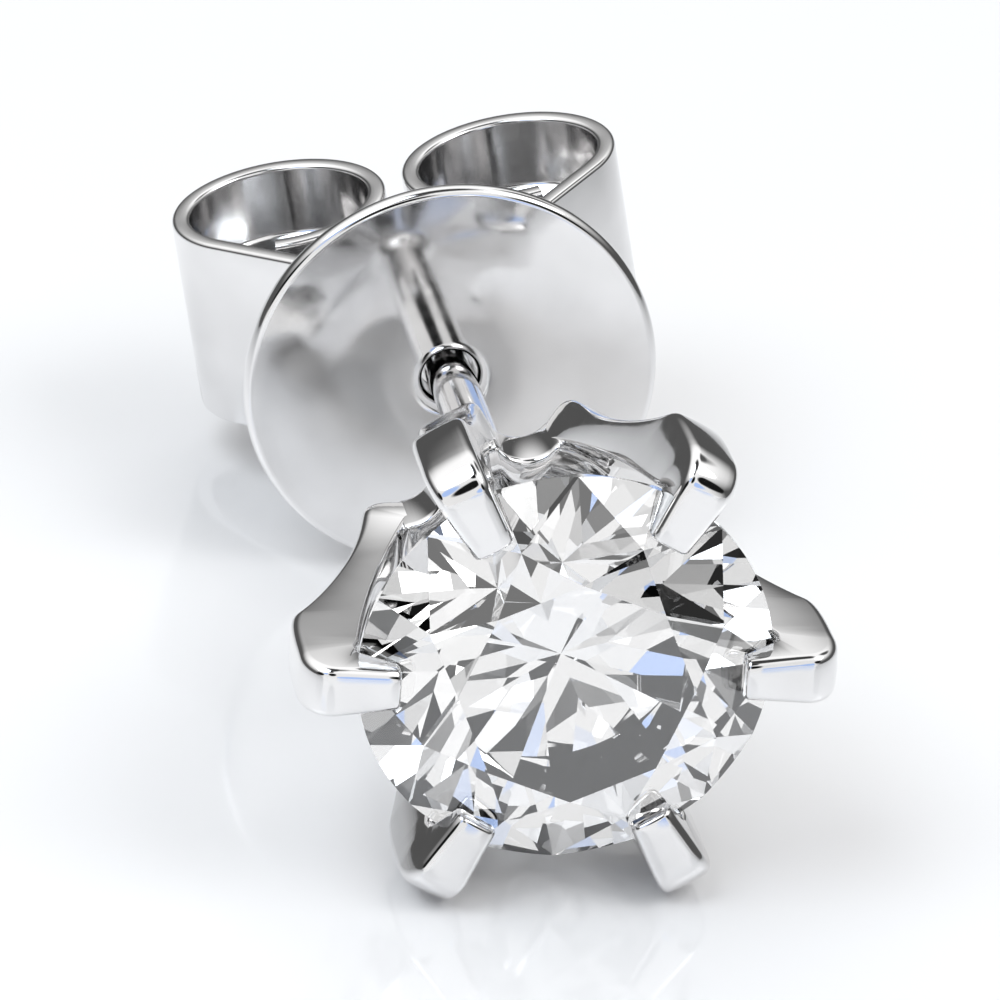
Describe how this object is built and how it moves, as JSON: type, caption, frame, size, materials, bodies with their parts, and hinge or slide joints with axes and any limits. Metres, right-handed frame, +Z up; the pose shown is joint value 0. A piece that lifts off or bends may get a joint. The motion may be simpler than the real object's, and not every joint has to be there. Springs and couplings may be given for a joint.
{
  "type": "stud earring",
  "caption": "Round brilliant stud in an open six-prong white metal basket, with a post and a push-on disc back whose strip curls into two scrolls.",
  "frame": {"origin": "on the table, under the middle of the earring's box as it lies", "axes": "+Z up from the table, -Y the way the stone faces, +X to the right of someone facing +Y"},
  "size_m": [0.0078, 0.0162, 0.0071],
  "materials": {
    "white_gold": "mirror-polished rhodium-plated white gold",
    "diamond": "clear, colourless, cut and polished"
  },
  "bodies": {
    "stud": {"setting": "white_gold", "stone": "diamond"},
    "disc": {"back_disc": "white_gold"},
    "clip": {"scroll_clip": "white_gold"}
  },
  "joints": [
    {"name": "back_slide", "type": "slide", "parent": "stud", "child": "disc", "axis": [0, -0.9988, 0.0488], "range_m": [-0.0052, 0.00485]},
    {"name": "clip_turn", "type": "hinge", "parent": "disc", "child": "clip", "pos_m": [0, 0.00275, 0.00309], "axis": [0, -0.9988, 0.0488], "continuous": true}
  ]
}
